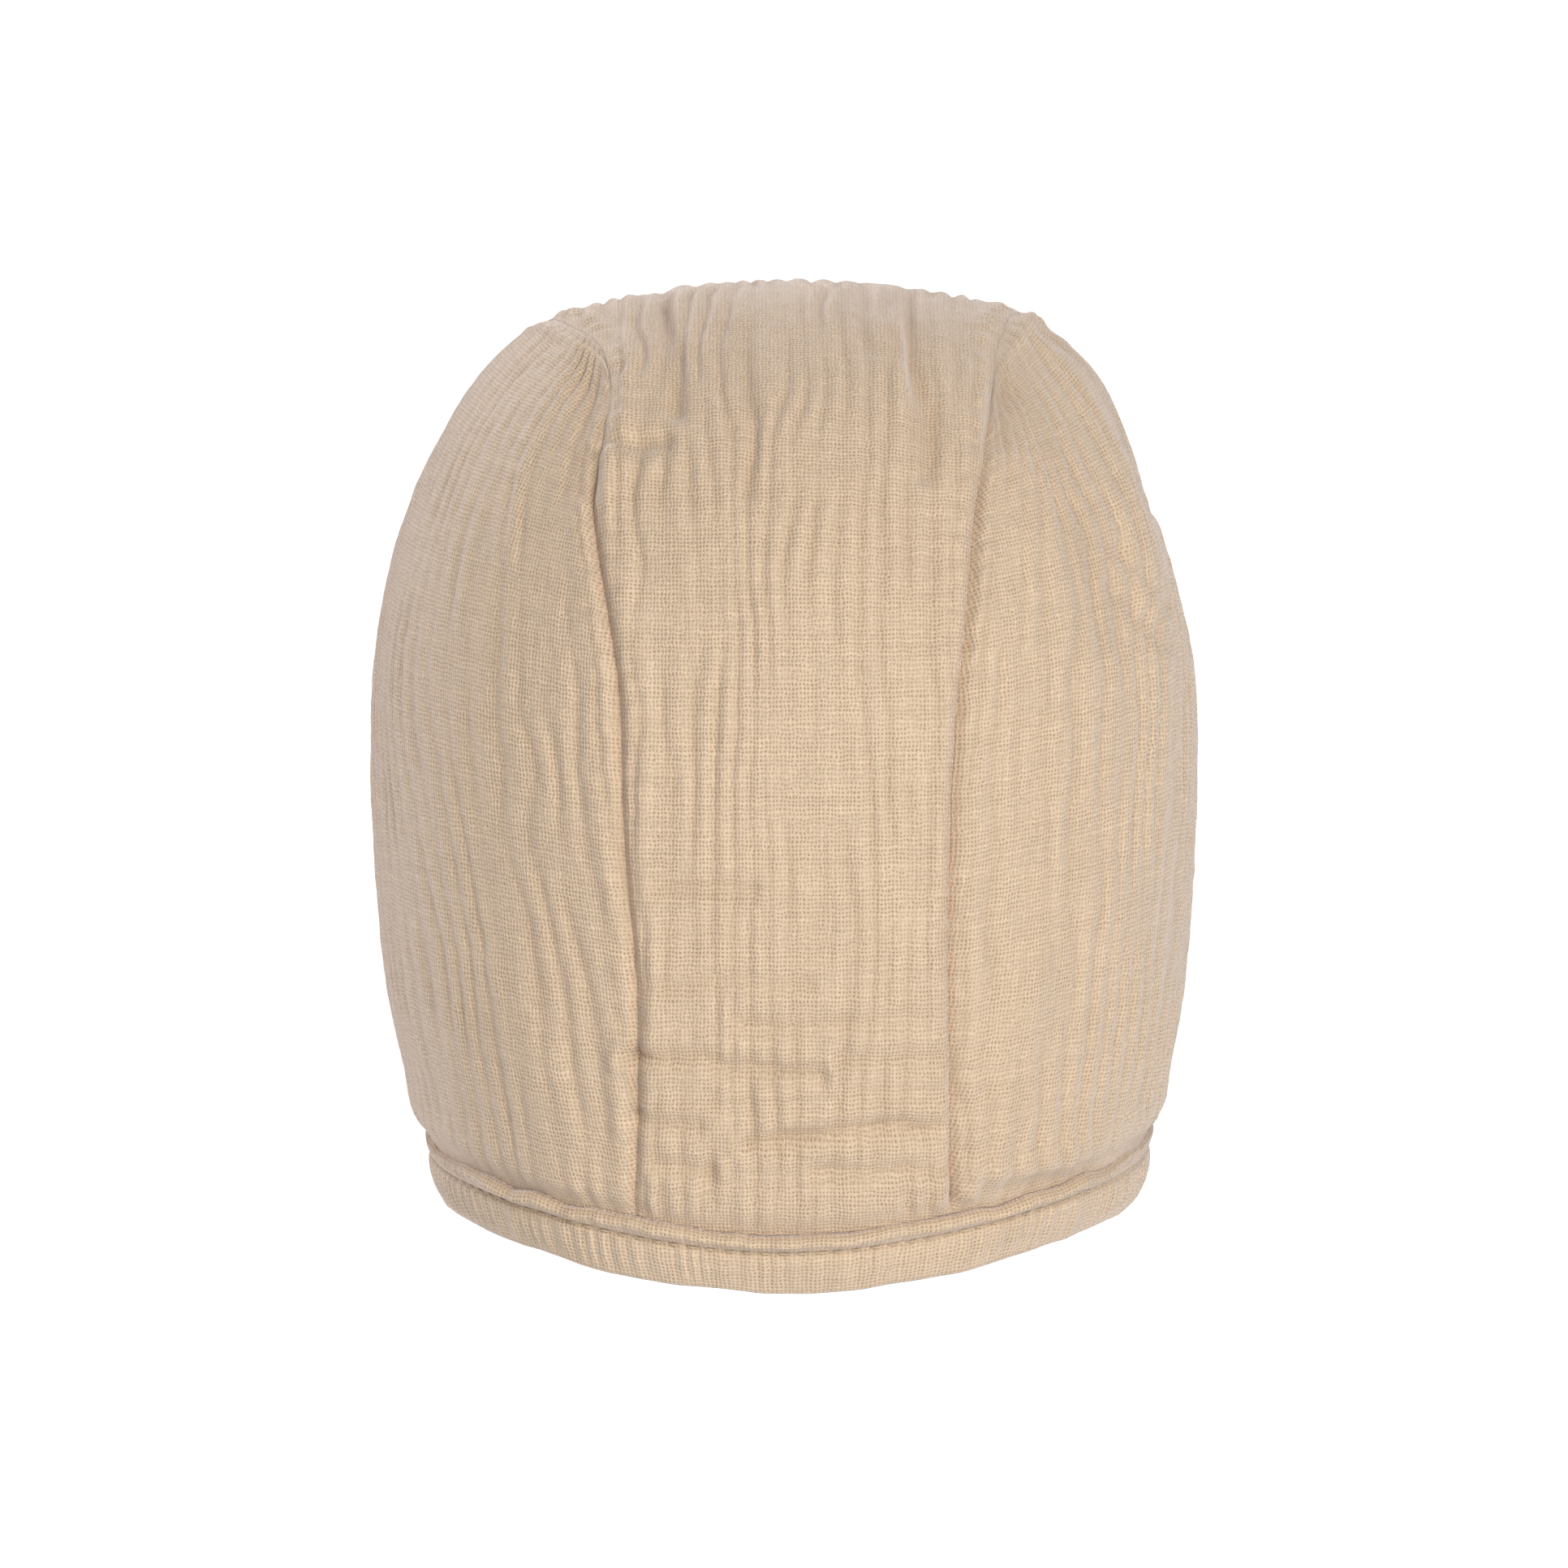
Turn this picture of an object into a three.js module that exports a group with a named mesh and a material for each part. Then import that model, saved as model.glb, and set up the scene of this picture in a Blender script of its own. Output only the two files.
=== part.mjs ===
// A small child's nightcap of crinkled double gauze: a centre panel that runs from the face edge over the crown to the
// nape, two side panels, and bindings folded over the face edge and the neck edge.
// Millimetres, +Z up. The nape is towards -Y, the face opening towards +Y and the wearer's right towards +X.
// The origin is inside the crown, where the top of the head sits.
import * as THREE from "three";

// Driving sizes of the form that the cloth is draped on, from its widest section and level
const HALF_WIDTH = 70; // middle to either side
const CROWN_RISE = 79.9; // up to the crown
const NECK_FALL = 120; // down to where the tapering form would close
const BACK_REACH = 76; // back to the furthest point
const FRONT_REACH = 84; // forward to where the form would close
const FORM_POWER = 2.37; // 2 is an ellipsoid, and more is squarer

// Edges of the finished cap, from the widest section and level
const SIDE_DROP = 74.4; // down to the neck edge at the sides
const NAPE_DROP = 83.7; // down to the neck edge at the nape
const FACE_TOP = 56; // forward to the face edge, at the crown's level
const FACE_NECK = 36; // forward to the face edge, at the neck edge

// Cloth, seams and ribs
const CLOTH = 1.2; // thickness of the gauze
const SEAM_GAP = 0.68; // between panels that are sewn together
const SEAM_DIP = 0.9; // how far the cloth sinks at a seam
const RIB_PITCH = 4.4; // crest to crest across the side panels
const CENTRE_RIBS = 14; // ribs across the centre panel
const RIB_HEIGHT = 0.48; // mean surface to crest

// Bindings
const BINDING_WIDTH = 10.6;
const BINDING_LEG = 1; // thickness of each leg
const BINDING_FOLD = 1.3; // thickness at the folded free edge
const BINDING_FIT = 0.45; // clearance to the cloth in the fold, and between the two bindings
const RIDGE_WIDTH = 2.4; // rolled upper edge of the outer leg
const RIDGE_HEIGHT = 0.6;
const BINDING_STEPS = 40; // sections along each binding
const CINCH = 1; // how far the neck binding draws the cloth in
const CINCH_REACH = 9; // from this far above its upper edge

// The centre panel from the face edge (0) to the nape (1): half its width and how far its middle leans to the
// wearer's right, both as shares of HALF_WIDTH
const CENTRE_STATIONS = [
  { along: 0, half: 0.6, lean: 0 },
  { along: 0.235, half: 0.57, lean: 0.005 },
  { along: 0.37, half: 0.519, lean: 0.026 },
  { along: 0.41, half: 0.475, lean: 0.041 },
  { along: 0.449, half: 0.4505, lean: 0.0424 },
  { along: 0.4775, half: 0.445, lean: 0.031 },
  { along: 0.527, half: 0.464, lean: 0.011 },
  { along: 0.56, half: 0.456, lean: 0.003 },
  { along: 0.629, half: 0.42, lean: 0.008 },
  { along: 0.683, half: 0.398, lean: 0.011 },
  { along: 0.776, half: 0.383, lean: 0.007 },
  { along: 0.851, half: 0.367, lean: 0.021 },
  { along: 0.95, half: 0.371, lean: 0.023 },
  { along: 1, half: 0.373, lean: 0.024 },
];

// Creases and tucks of the centre panel. along and across place the middle (across is -1 to 1 between the seams), run
// and spread are half the length across or along the panel, and height is a share of CLOTH.
const CENTRE_FOLDS = [
  { name: "crown tuck", along: 0.4, across: 0.62, length: 0.12, width: 0.09, height: -1.7, runs: "along" },
  { name: "crown ridge", along: 0.42, across: 0.8, length: 0.14, width: 0.12, height: 1.1, runs: "along" },
  { name: "left tuck", along: 0.42, across: -0.5, length: 0.1, width: 0.08, height: -1.1, runs: "along" },
  { name: "middle tuck", along: 0.5, across: -0.12, length: 0.14, width: 0.08, height: -0.7, runs: "along" },
  { name: "nape crease 1", along: 0.865, across: 0, length: 0.85, width: 0.009, height: -0.7, runs: "across" },
  { name: "nape crease 2", along: 0.907, across: 0.05, length: 0.9, width: 0.01, height: -1.1, runs: "across" },
  { name: "nape crease 3", along: 0.945, across: 0.15, length: 0.9, width: 0.01, height: -1.2, runs: "across" },
];

// Folds of the side panels, each a ridge or a hollow from one place to another. forward and up are angles in degrees
// round the panel's middle, width is in degrees and height a share of CLOTH.
const SIDE_FOLDS = [
  { side: 1, name: "fold by the back seam", forward: [-52, -47], up: [38, -30], width: 5, height: 1.3 },
  { side: 1, name: "hollow before it", forward: [-40, -38], up: [10, -42], width: 5, height: -1 },
  { side: 1, name: "crown crest", forward: [-20, -8], up: [52, 22], width: 5, height: 1.7 },
  { side: 1, name: "hollow past the crest", forward: [-8, 6], up: [50, 26], width: 6, height: -1 },
  { side: -1, name: "gather under the seam", forward: [-46, -54], up: [44, 26], width: 5, height: -1.7 },
  { side: -1, name: "gather ridge", forward: [-36, -44], up: [46, 26], width: 4, height: 1 },
];

// Broad swells of the whole form, towards a direction: azimuth from the nape towards the wearer's right, elevation,
// spread in degrees, and height as a share of HALF_WIDTH
const SWELLS = [
  { name: "right crown", azimuth: 96, elevation: 51, spread: 16, height: 0.058 },
  { name: "right shoulder", azimuth: 92, elevation: 27, spread: 12, height: -0.024 },
  { name: "left crown", azimuth: -85, elevation: 53, spread: 15, height: 0.04 },
  { name: "lower left", azimuth: -90, elevation: -45, spread: 24, height: -0.028 },
];

const GAUZE = { color: 0xd9bf9f, roughness: 0.95, metalness: 0 };
const HEM_GAUZE = { color: 0xd6bd9f, roughness: 0.95, metalness: 0 };

const degrees = (angle) => (angle * Math.PI) / 180;
const mix = (a, b, share) => a + (b - a) * share;
const bell = (distance, width) => Math.exp(-((distance / width) ** 2));

// Smooth value of one column of a table whose rows are placed by "along"
function tableValue(rows, column, along) {
  const last = rows.length - 1;
  const slope = (k) => {
    const before = rows[Math.max(k - 1, 0)];
    const after = rows[Math.min(k + 1, last)];
    return (after[column] - before[column]) / (after.along - before.along);
  };
  const share = Math.min(Math.max(along, 0), 1);
  const k = Math.min(Math.max(rows.findIndex((row) => row.along > share) - 1, 0), last - 1);
  const from = share >= rows[last].along ? last - 1 : k;
  const span = rows[from + 1].along - rows[from].along;
  const t = (share - rows[from].along) / span;
  const start = rows[from][column];
  const end = rows[from + 1][column];
  const bend = t * (1 - t);
  return (
    mix(start, end, t * t * (3 - 2 * t)) +
    bend * ((1 - t) * slope(from) - t * slope(from + 1)) * span
  );
}

// Where a condition that holds at low stops holding on the way to high
function lastPlace(holds, low, high) {
  let inside = low;
  let outside = high;
  for (let step = 0; step < 40; step += 1) {
    const middle = (inside + outside) / 2;
    if (holds(middle)) inside = middle;
    else outside = middle;
  }
  return (inside + outside) / 2;
}

// The neck edge's level, lowest at the nape, and the face edge's reach
const NAPE_ROUND = 0.35; // how round the neck edge's lowest place is, as a share of HALF_WIDTH
const arch = (share) => Math.hypot(share, NAPE_ROUND) - NAPE_ROUND;
const neckLevel = (x) => -NAPE_DROP + ((NAPE_DROP - SIDE_DROP) * arch(x / HALF_WIDTH)) / arch(0.85);
const faceReach = (z) => mix(FACE_NECK, FACE_TOP, (z + SIDE_DROP) / (SIDE_DROP + CROWN_RISE));

// The form. A direction is a unit vector in the space where its half-sizes are 1.
const direction = (x, y, z) => new THREE.Vector3(x, y, z).normalize();

const swellCentres = SWELLS.map(({ azimuth, elevation }) => {
  const level = Math.cos(degrees(elevation));
  return direction(
    level * Math.sin(degrees(azimuth)),
    -level * Math.cos(degrees(azimuth)),
    Math.sin(degrees(elevation)),
  );
});

function formPoint(d) {
  const size = ["x", "y", "z"].reduce((sum, axis) => sum + Math.abs(d[axis]) ** FORM_POWER, 0);
  const swell = SWELLS.reduce(
    (sum, { spread, height }, k) => sum + height * bell(d.angleTo(swellCentres[k]), degrees(spread)),
    0,
  );
  const reach = size ** (-1 / FORM_POWER) + swell;
  const point = new THREE.Vector3(
    HALF_WIDTH * d.x * reach,
    (d.y < 0 ? BACK_REACH : FRONT_REACH) * d.y * reach,
    (d.z < 0 ? NECK_FALL : CROWN_RISE) * d.z * reach,
  );
  const above = point.z - neckLevel(point.x) - BINDING_WIDTH;
  const drawn = CINCH * (1 - THREE.MathUtils.smoothstep(above, -1, CINCH_REACH - 1));
  const share = 1 - drawn / Math.hypot(point.x, point.y, 0.3 * HALF_WIDTH);
  return point.multiply(new THREE.Vector3(share, share, 1));
}

function formNormal(d) {
  const step = 0.002;
  const first = new THREE.Vector3(d.z, d.x, -d.y).cross(d).normalize();
  const second = new THREE.Vector3().crossVectors(d, first);
  const across = (tangent) =>
    formPoint(d.clone().addScaledVector(tangent, step).normalize()).sub(
      formPoint(d.clone().addScaledVector(tangent, -step).normalize()),
    );
  return across(first).cross(across(second)).normalize();
}

// Inside the finished edges by a distance
const aboveNeck = (point, lift) => point.z > neckLevel(point.x) + lift;
const behindFace = (point, inset) => point.y < faceReach(point.z) - inset;
const tuckInset = BINDING_FOLD + BINDING_FIT; // from the finished edges to the cloth's raw edges
const freeInset = BINDING_WIDTH + CLOTH; // from the finished edges to where the cloth is clear of the bindings

// Directions named by the angle round the side-to-side axis (0 forward, 90 up, 180 back) and the angle off its middle
const roundAxis = (turn, side) =>
  new THREE.Vector3(Math.sin(side), Math.cos(side) * Math.cos(turn), Math.cos(side) * Math.sin(turn));

function centreTurn(side, end, inset) {
  return end === "face"
    ? lastPlace((turn) => behindFace(formPoint(roundAxis(turn, side)), inset), Math.PI / 2, 0)
    : lastPlace((turn) => aboveNeck(formPoint(roundAxis(turn, side)), inset), Math.PI, 1.5 * Math.PI);
}

const faceTurn = centreTurn(0, "face", 0);
const napeTurn = centreTurn(0, "nape", 0);

// The seam's angle off the middle, at either side of the centre panel, moved outwards by an offset
function seamAngle(turn, side, offset) {
  const along = (turn - faceTurn) / (napeTurn - faceTurn);
  const half = tableValue(CENTRE_STATIONS, "half", along) * HALF_WIDTH;
  const lean = tableValue(CENTRE_STATIONS, "lean", along) * HALF_WIDTH;
  const reach = side * lean + half + offset;
  return side * lastPlace((angle) => formPoint(roundAxis(turn, side * angle)).x * side < reach, 0, Math.PI / 2);
}

// The cloth sinks at the seam, apart from its ends under the bindings
const SEAM_RAMP = degrees(14);
function seamDip(turn) {
  const bound = freeInset / HALF_WIDTH;
  const room = Math.min(turn - faceTurn - bound, napeTurn - bound - turn);
  return SEAM_DIP * Math.min(Math.max(room / SEAM_RAMP, 0), 1);
}

// A closed sheet of cloth between an outer and an inner grid of points
function sheetGeometry(outer, inner) {
  const columns = outer.length;
  const rows = outer[0].length;
  const positions = [...outer.flat(), ...inner.flat()].flatMap((point) => point.toArray());
  const top = (i, j) => i * rows + j;
  const under = (i, j) => columns * rows + top(i, j);
  const faces = [];
  const quad = (a, b, c, d) => faces.push(a, b, c, a, c, d);
  for (let i = 0; i < columns - 1; i += 1) {
    for (let j = 0; j < rows - 1; j += 1) {
      quad(top(i, j), top(i + 1, j), top(i + 1, j + 1), top(i, j + 1));
      quad(under(i, j), under(i, j + 1), under(i + 1, j + 1), under(i + 1, j));
    }
    quad(top(i, 0), under(i, 0), under(i + 1, 0), top(i + 1, 0));
    quad(top(i + 1, rows - 1), under(i + 1, rows - 1), under(i, rows - 1), top(i, rows - 1));
  }
  for (let j = 0; j < rows - 1; j += 1) {
    quad(top(0, j + 1), under(0, j + 1), under(0, j), top(0, j));
    quad(top(columns - 1, j), under(columns - 1, j), under(columns - 1, j + 1), top(columns - 1, j + 1));
  }
  return facingOut(positions, faces);
}

// Geometry from points and triangles, turned so that its faces point out
function facingOut(positions, faces) {
  const corner = (k) => new THREE.Vector3().fromArray(positions, 3 * faces[k]);
  let volume = 0;
  for (let k = 0; k < faces.length; k += 3) volume += corner(k).dot(corner(k + 1).cross(corner(k + 2)));
  const turned = volume < 0 ? faces.slice().reverse() : faces;
  const geometry = new THREE.BufferGeometry();
  geometry.setAttribute("position", new THREE.Float32BufferAttribute(positions, 3));
  geometry.setIndex(turned);
  geometry.computeVertexNormals();
  return geometry;
}

// Cloth of a number of columns and rows, whose place(i, j) gives the direction on the form and how far the cloth lifts off it
function clothGeometry(columns, rows, place) {
  const outer = [];
  const inner = [];
  for (let i = 0; i <= columns; i += 1) {
    outer.push([]);
    inner.push([]);
    for (let j = 0; j <= rows; j += 1) {
      const { d, lift } = place(i, j);
      const point = formPoint(d);
      const normal = formNormal(d);
      outer[i].push(point.clone().addScaledVector(normal, lift));
      inner[i].push(point.clone().addScaledVector(normal, lift - CLOTH));
    }
  }
  return sheetGeometry(outer, inner);
}

// Ribs rise on even columns and sink between them, more in some places than in others
const ribLift = (i, along) =>
  (i % 2 === 0 ? RIB_HEIGHT : -RIB_HEIGHT) * (0.75 + 0.25 * Math.sin(1.7 * i + 9 * along));

// Rows of the centre panel between the bindings, as shares of the way from the face to the nape
const CENTRE_ROWS = [
  0, 0.05, 0.11, 0.17, 0.23, 0.29, 0.34, 0.38, 0.41, 0.44, 0.47, 0.5, 0.53, 0.56, 0.59, 0.63, 0.68, 0.74, 0.79,
  0.835, 0.865, 0.886, 0.907, 0.926, 0.945, 0.965, 1,
];

function centreFolds(along, across) {
  return CENTRE_FOLDS.reduce((sum, fold) => {
    const lengthwise = fold.runs === "along" ? along - fold.along : across - fold.across;
    const crosswise = fold.runs === "along" ? across - fold.across : along - fold.along;
    return sum + fold.height * CLOTH * bell(lengthwise, fold.length) * bell(crosswise, fold.width);
  }, 0);
}

function centrePanel() {
  const columns = 2 * CENTRE_RIBS;
  const lastRow = CENTRE_ROWS.length + 1;
  return clothGeometry(columns, lastRow, (i, j) => {
    const across = (2 * i) / columns - 1;
    const side = across < 0 ? -1 : 1;
    const share = CENTRE_ROWS[Math.min(Math.max(j - 1, 0), CENTRE_ROWS.length - 1)];
    const angle = (turn) => Math.abs(across) * seamAngle(turn, side, -SEAM_GAP / 2);
    const offMiddle = angle(mix(faceTurn, napeTurn, share));
    const turn = mix(
      centreTurn(offMiddle, "face", j === 0 ? tuckInset : freeInset),
      centreTurn(offMiddle, "nape", j === lastRow ? tuckInset : freeInset),
      j === 0 ? 0 : j === lastRow ? 1 : share,
    );
    const d = roundAxis(turn, angle(turn));
    if (j <= 1 || j >= lastRow - 1) return { d, lift: 0 };
    if (i === 0 || i === columns) return { d, lift: -seamDip(turn) };
    return { d, lift: ribLift(i, share) + centreFolds(share, across) };
  });
}

// The side panels lie on a flat chart round the form's side: its length is the angle off the side-to-side axis
const onChart = (side, forward, up) => {
  const angle = Math.hypot(forward, up);
  const turn = Math.atan2(up, forward);
  return new THREE.Vector3(
    side * Math.cos(angle),
    Math.sin(angle) * Math.cos(turn),
    Math.sin(angle) * Math.sin(turn),
  );
};

const SIDE_ROWS = [0, 0.07, 0.15, 0.23, 0.31, 0.39, 0.47, 0.55, 0.63, 0.71, 0.79, 0.87, 0.94, 1];
const SEAM_CORNER = degrees(150); // the seam is the panel's upper edge up to here, and its back edge from here on

// Distance and place along a line between two points of the chart
function sideFolds(side, forward, up) {
  return SIDE_FOLDS.reduce((sum, fold) => {
    if (fold.side !== side) return sum;
    const start = new THREE.Vector2(degrees(fold.forward[0]), degrees(fold.up[0]));
    const run = new THREE.Vector2(degrees(fold.forward[1]), degrees(fold.up[1])).sub(start);
    const offset = new THREE.Vector2(forward, up).sub(start);
    const share = Math.min(Math.max(offset.dot(run) / run.lengthSq(), 0), 1);
    const distance = offset.distanceTo(run.multiplyScalar(share));
    return sum + fold.height * CLOTH * bell(distance, degrees(fold.width));
  }, 0);
}

function sidePanel(side) {
  const seam = (turn) => {
    const angle = Math.PI / 2 - Math.abs(seamAngle(turn, side, SEAM_GAP / 2));
    return new THREE.Vector2(angle * Math.cos(turn), angle * Math.sin(turn));
  };
  const outline = (inset) => {
    const within = (forward, up) =>
      Math.hypot(forward, up) < seam((Math.atan2(up, forward) + 2 * Math.PI) % (2 * Math.PI)).length() &&
      aboveNeck(formPoint(onChart(side, forward, up)), inset);
    const front = (up) =>
      lastPlace((forward) => behindFace(formPoint(onChart(side, forward, up)), inset), 0, Math.PI / 2);
    const faceLow = lastPlace((up) => within(front(up), up), 0, -Math.PI / 2);
    const faceHigh = lastPlace((up) => within(front(up), up), 0, Math.PI / 2);
    const seamLow = lastPlace(
      (turn) => aboveNeck(formPoint(onChart(side, seam(turn).x, seam(turn).y)), inset),
      Math.PI,
      1.5 * Math.PI,
    );
    return {
      low: (forward) => new THREE.Vector2(forward, lastPlace((up) => within(forward, up), 0, -Math.PI / 2)),
      high: (forward) => new THREE.Vector2(forward, lastPlace((up) => within(forward, up), 0, Math.PI / 2)),
      face: (up) => new THREE.Vector2(front(up), up),
      faceLow,
      faceHigh,
      seamLow,
    };
  };
  const tuck = outline(tuckInset);
  const free = outline(freeInset);
  const face = (share) => free.face(mix(free.faceLow, free.faceHigh, share));
  const back = (share) => seam(mix(free.seamLow, SEAM_CORNER, share));

  // A place in the free part: p from the face edge to the back seam, q from the neck edge to the upper seam
  const between = (p, q) => {
    const bottom = free.low(mix(face(0).x, back(0).x, p));
    const top = free.high(mix(face(1).x, back(1).x, p));
    const chart = bottom.clone().lerp(top, q);
    const bulge = (edge, weight) => chart.add(edge(q).sub(edge(0).lerp(edge(1), q)).multiplyScalar(weight));
    bulge(face, (1 - p) ** 2);
    bulge(back, p ** 2);
    return chart;
  };

  const columns = 1 + 2 * Math.round(((face(0).x - back(0).x) * HALF_WIDTH) / RIB_PITCH);
  const lastRow = SIDE_ROWS.length;
  return clothGeometry(columns, lastRow, (i, j) => {
    const p = Math.max(i - 1, 0) / (columns - 1);
    const q = SIDE_ROWS[Math.max(j - 1, 0)];
    let chart = between(p, q);
    const upper = (tuck.faceHigh - free.faceHigh) * q ** 8;
    if (i === 0) chart = tuck.face(j === 0 ? tuck.faceLow : chart.y + upper);
    else if (j === 0 && i === columns) chart = seam(tuck.seamLow);
    else if (j === 0) chart = tuck.low(chart.x);
    const d = onChart(side, chart.x, chart.y);
    if (i <= 1 || j <= 1) return { d, lift: 0 };
    const turn = (Math.atan2(chart.y, chart.x) + 2 * Math.PI) % (2 * Math.PI);
    if (i === columns || j === lastRow) return { d, lift: -seamDip(turn) };
    return { d, lift: ribLift(i, q) + sideFolds(side, chart.x, chart.y) };
  });
}

// Section of a binding folded over the cloth: out from the cloth's outer face, and down from its upper edge
function bindingSection() {
  const slotOut = BINDING_FIT;
  const slotIn = -CLOTH - BINDING_FIT;
  const out = slotOut + BINDING_LEG;
  const back = slotIn - BINDING_LEG;
  const round = 0.6 * BINDING_LEG;
  return [
    [slotOut, 0],
    [out + 0.4 * RIDGE_HEIGHT, 0],
    [out + RIDGE_HEIGHT, 0.4 * RIDGE_WIDTH],
    [out + 0.5 * RIDGE_HEIGHT, 0.85 * RIDGE_WIDTH],
    [out - 0.25 * RIDGE_HEIGHT, RIDGE_WIDTH],
    [out + 0.2 * RIDGE_HEIGHT, 1.6 * RIDGE_WIDTH],
    [out, BINDING_WIDTH - 2 * round],
    [out - round, BINDING_WIDTH],
    [back + round, BINDING_WIDTH],
    [back, BINDING_WIDTH - 2 * round],
    [back, 0],
    [slotIn, 0],
    [slotIn, BINDING_WIDTH - BINDING_FOLD],
    [slotOut, BINDING_WIDTH - BINDING_FOLD],
  ].map(([outward, down]) => new THREE.Vector2(outward, down));
}

// Directions of places along the two edges, a distance inside the finished edge
function neckDirection(azimuth, inset) {
  const at = (fall) =>
    direction(Math.cos(fall) * Math.sin(azimuth), -Math.cos(fall) * Math.cos(azimuth), -Math.sin(fall));
  return at(lastPlace((fall) => aboveNeck(formPoint(at(fall)), inset), 0, Math.PI / 2));
}

function faceDirection(swing, inset) {
  const at = (ahead) =>
    direction(Math.cos(ahead) * Math.sin(swing), Math.sin(ahead), Math.cos(ahead) * Math.cos(swing));
  return at(lastPlace((ahead) => behindFace(formPoint(at(ahead)), inset), 0, Math.PI / 2));
}

// A binding along an edge, as far to either side as runs says at that distance inside the edge
function bindingGeometry(edgeDirection, runs) {
  const section = bindingSection();
  const size = section.length;
  const insets = section.map((point) => BINDING_WIDTH - point.y);
  const ends = insets.map((inset) =>
    lastPlace((station) => runs(formPoint(edgeDirection(station, inset))), 0, Math.PI),
  );
  const positions = [];
  for (let k = 0; k <= BINDING_STEPS; k += 1) {
    section.forEach((point, m) => {
      const d = edgeDirection(mix(-ends[m], ends[m], k / BINDING_STEPS), insets[m]);
      positions.push(...formPoint(d).addScaledVector(formNormal(d), point.x).toArray());
    });
  }
  const faces = [];
  for (let k = 0; k < BINDING_STEPS; k += 1) {
    for (let m = 0; m < size; m += 1) {
      const next = (m + 1) % size;
      const [a, b, c, d] = [k * size + m, k * size + next, (k + 1) * size + next, (k + 1) * size + m];
      faces.push(a, b, c, a, c, d);
    }
  }
  const lastRing = BINDING_STEPS * size;
  for (const [a, b, c] of THREE.ShapeUtils.triangulateShape(section, [])) {
    faces.push(c, b, a, lastRing + a, lastRing + b, lastRing + c);
  }
  return facingOut(positions, faces);
}

const neckBinding = () => bindingGeometry(neckDirection, (point) => behindFace(point, 0));
const faceBinding = () => bindingGeometry(faceDirection, (point) => aboveNeck(point, BINDING_WIDTH + BINDING_FIT));

function named(name, geometry, finish) {
  const mesh = new THREE.Mesh(geometry, new THREE.MeshStandardMaterial(finish));
  mesh.name = name;
  return mesh;
}

const nightcap = new THREE.Group();
nightcap.add(
  named("centre_panel", centrePanel(), GAUZE),
  named("right_side_panel", sidePanel(1), GAUZE),
  named("left_side_panel", sidePanel(-1), GAUZE),
  named("neck_binding", neckBinding(), HEM_GAUZE),
  named("face_binding", faceBinding(), HEM_GAUZE),
);
nightcap.position.z = CLOTH - CROWN_RISE;

export default nightcap;
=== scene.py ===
import math

import bpy
import numpy as np
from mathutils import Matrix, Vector


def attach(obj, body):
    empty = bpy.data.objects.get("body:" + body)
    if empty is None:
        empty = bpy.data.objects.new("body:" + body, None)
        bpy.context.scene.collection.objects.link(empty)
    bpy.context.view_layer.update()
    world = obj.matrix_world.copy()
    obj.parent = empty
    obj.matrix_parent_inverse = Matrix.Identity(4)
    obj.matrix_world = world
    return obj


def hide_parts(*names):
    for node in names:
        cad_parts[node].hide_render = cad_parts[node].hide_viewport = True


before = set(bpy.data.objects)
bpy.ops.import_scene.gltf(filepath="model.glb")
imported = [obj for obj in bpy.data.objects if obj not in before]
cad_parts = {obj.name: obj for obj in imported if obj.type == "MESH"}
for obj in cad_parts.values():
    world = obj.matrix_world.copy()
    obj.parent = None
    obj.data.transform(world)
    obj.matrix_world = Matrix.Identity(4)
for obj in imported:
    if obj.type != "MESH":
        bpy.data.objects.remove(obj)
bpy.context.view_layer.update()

print("nightcap: frame loaded")

# Lengths are in millimetres until a mesh is made, but a sheet's flat size and area are in metres.
# The form's middle is its widest level.
capForm = {
    "halfWidth": 70,
    "crownRise": 79.9,
    "neckFall": 120,
    "backReach": 76,
    "frontReach": 84,
    "power": 2.37,  # 2 is an ellipsoid, and more is squarer
    "sideDrop": 74.4,
    "napeDrop": 83.7,
    "napeRound": 0.35,
    "faceTop": 56,
    "faceNeck": 36,
    "bandWidth": 10.6,
    "cinch": 1.0,  # how far the neck band draws the cloth in
    "cinchReach": 9,
    "crownInside": 1.2,  # the frame's origin is this far inside the crown
    # azimuth from nape to right, elevation and spread in degrees, height as a share of the form's size
    "swells": [
        {"name": "right crown", "azimuth": 96, "elevation": 51, "spread": 16, "height": 0.058},
        {"name": "right shoulder", "azimuth": 92, "elevation": 27, "spread": 12, "height": -0.024},
        {"name": "left crown", "azimuth": -85, "elevation": 53, "spread": 15, "height": 0.04},
        {"name": "lower left", "azimuth": -90, "elevation": -45, "spread": 24, "height": -0.028},
    ],
}

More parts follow.
